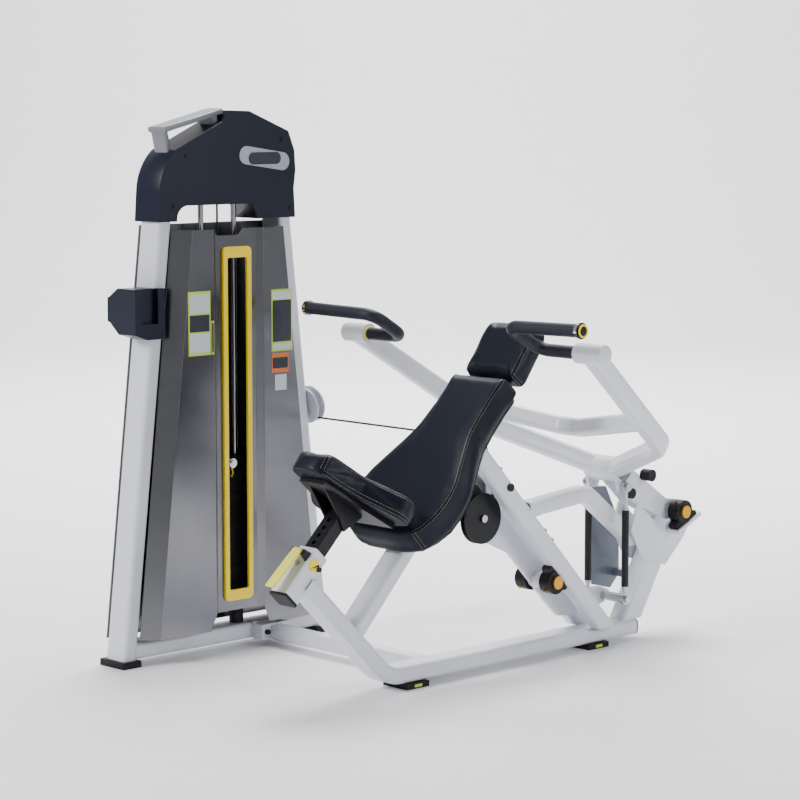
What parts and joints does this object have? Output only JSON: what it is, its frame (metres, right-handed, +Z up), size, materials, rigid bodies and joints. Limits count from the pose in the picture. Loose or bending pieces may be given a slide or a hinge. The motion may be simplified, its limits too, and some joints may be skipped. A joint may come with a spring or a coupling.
{
  "type": "seated shoulder press machine",
  "caption": "Selectorised seated shoulder press: a weight tower beside an inclined seat and back rest, with a linked press arm lifting the stack by cable.",
  "frame": {"origin": "on the floor, at the middle of the machine's overall footprint", "axes": "+Z up, -Y the way the user faces, +X away from the weight tower"},
  "size_m": [1.2876, 1.5972, 1.5038],
  "materials": {
    "white_frame": "satin powder coat",
    "steel_sheet": "brushed",
    "dark_plastic": "satin moulded",
    "grey_plastic": "satin moulded",
    "yellow_plastic": "gloss",
    "cast_plate": "painted",
    "bright_steel": "polished",
    "rubber": "matt",
    "cable": "coated steel cable",
    "black_steel": "satin",
    "cushion": "grained upholstery",
    "gold_cap": "anodised",
    "black_casting": "satin paint",
    "guard_steel": "gloss",
    "pulley_plastic": "moulded",
    "zinc_steel": "zinc plated"
  },
  "bodies": {
    "frame": {"tower_front_upright": "white_frame", "tower_rear_upright": "white_frame", "tower_base_tube": "white_frame", "tower_top_beam": "zinc_steel", "tower_cap": "dark_plastic", "cap_handle": "grey_plastic", "front_shroud": "steel_sheet", "rear_shroud": "steel_sheet", "window_frame": "yellow_plastic", "blank_placards": "dark_plastic", "phone_holder": "dark_plastic", "guide_rods": "bright_steel", "stack_bumpers": "rubber", "weight_stack": "cast_plate", "cable_route": "cable", "side_pulley_housing": "dark_plastic", "pulley_brackets": "black_steel", "main_base": "white_frame", "feet_and_caps": "rubber", "connector": "white_frame", "seat_sleeve": "white_frame", "sleeve_fittings": "black_steel", "support_tube": "white_frame", "near_rail": "white_frame", "far_rail": "white_frame", "gooseneck": "white_frame", "rear_mast": "white_frame", "pillow_blocks": "black_casting", "pillow_caps": "gold_cap", "rod_guard": "guard_steel", "fasteners": "zinc_steel", "back_board": "black_steel", "back_pad": "cushion", "headrest": "cushion"},
    "weight_carriage": {"lifted_plate": "cast_plate", "selector_stem": "bright_steel", "cable_lift": "cable"},
    "pin": {"selector_pin": "bright_steel"},
    "press_arm": {"arm_hub": "white_frame", "arm_shaft": "zinc_steel", "arm_near": "white_frame", "arm_far": "white_frame", "arm_brace": "white_frame", "arm_grips": "rubber", "grip_ends": "bright_steel", "arm_bumpers": "rubber"},
    "near_link": {"rod_near": "zinc_steel"},
    "far_link": {"rod_far": "zinc_steel"},
    "bell_crank": {"crank_plate": "white_frame", "crank_shaft": "zinc_steel", "cable_crank": "cable"},
    "crank_wheel": {"crank_pulley": "pulley_plastic"},
    "top_wheel_front": {"top_pulley_front": "pulley_plastic"},
    "top_wheel_rear": {"top_pulley_rear": "pulley_plastic"},
    "side_wheel": {"side_pulley": "pulley_plastic"},
    "frame_wheel": {"frame_pulley": "pulley_plastic"},
    "seat": {"seat_post": "black_steel", "seat_pad": "cushion"},
    "lever": {"seat_lever": "yellow_plastic"},
    "lock": {"locking_pin": "zinc_steel"}
  },
  "joints": [
    {"name": "arm_swing", "type": "hinge", "parent": "frame", "child": "press_arm", "pos_m": [0.13124, 0.70759, 0.355], "axis": [-1, 0, 0], "range_deg": [0, 28]},
    {"name": "crank_swing", "type": "hinge", "parent": "frame", "child": "bell_crank", "pos_m": [0.13124, 0.18559, 0.215], "axis": [1, 0, 0], "range_deg": [0, 22.3]},
    {"name": "near_link_swing", "type": "hinge", "parent": "press_arm", "child": "near_link", "pos_m": [0.20074, 0.46159, 0.452], "axis": [-1, 0, 0], "range_deg": [-16.6, 0]},
    {"name": "far_link_swing", "type": "hinge", "parent": "press_arm", "child": "far_link", "pos_m": [0.06174, 0.46159, 0.452], "axis": [-1, 0, 0], "range_deg": [-16.6, 0]},
    {"name": "stack_lift", "type": "slide", "parent": "frame", "child": "weight_carriage", "axis": [0, 0, 1], "range_m": [0, 0.206], "deforming": ["cable_lift"]},
    {"name": "pin_slide", "type": "slide", "parent": "weight_carriage", "child": "pin", "axis": [1, 0, 0], "range_m": [0, 0.055]},
    {"name": "top_front_spin", "type": "hinge", "parent": "frame", "child": "top_wheel_front", "pos_m": [-0.57376, -0.33441, 1.337], "axis": [-1, 0, 0], "range_deg": [0, 337.1]},
    {"name": "top_rear_spin", "type": "hinge", "parent": "frame", "child": "top_wheel_rear", "pos_m": [-0.57456, -0.22314, 1.33701], "axis": [-0.9997, 0, 0.0228], "range_deg": [0, 337.1]},
    {"name": "side_spin", "type": "hinge", "parent": "frame", "child": "side_wheel", "pos_m": [-0.55292, -0.05075, 0.66226], "axis": [0, -0.9801, -0.1985], "range_deg": [0, 318.9]},
    {"name": "frame_spin", "type": "hinge", "parent": "frame", "child": "frame_wheel", "pos_m": [0.09924, -0.03501, 0.59512], "axis": [0, 0.965, 0.2623], "range_deg": [0, 368.6]},
    {"name": "crank_wheel_spin", "type": "hinge", "parent": "bell_crank", "child": "crank_wheel", "pos_m": [0.13124, -0.04741, 0.412], "axis": [-1, 0, 0], "range_deg": [0, 121]},
    {"name": "seat_slide", "type": "slide", "parent": "frame", "child": "seat", "axis": [0, 0.7051, 0.7091], "range_m": [-0.07, 0.004]},
    {"name": "lever_pull", "type": "hinge", "parent": "frame", "child": "lever", "pos_m": [0.13124, -0.70175, 0.40075], "axis": [-1, 0, 0], "range_deg": [0, 12], "stiffness_Nm_per_rad": 2, "springref_deg": -17.19},
    {"name": "lock_slide", "type": "slide", "parent": "frame", "child": "lock", "axis": [0, -0.7091, 0.7051], "range_m": [0, 0.0047]}
  ],
  "couplings": [
    {"joint": "crank_swing", "follows": "arm_swing", "ratio": 0.79446},
    {"joint": "near_link_swing", "follows": "arm_swing", "ratio": -0.58775},
    {"joint": "far_link_swing", "follows": "arm_swing", "ratio": -0.58775},
    {"joint": "stack_lift", "follows": "arm_swing", "m_per_rad": 0.42096},
    {"joint": "top_front_spin", "follows": "arm_swing", "ratio": 12.027},
    {"joint": "top_rear_spin", "follows": "arm_swing", "ratio": 12.027},
    {"joint": "side_spin", "follows": "arm_swing", "ratio": 11.377},
    {"joint": "frame_spin", "follows": "arm_swing", "ratio": 13.155},
    {"joint": "crank_wheel_spin", "follows": "arm_swing", "ratio": 4.3025},
    {"joint": "lock_slide", "follows": "lever_pull", "m_per_rad": 0.022}
  ]
}
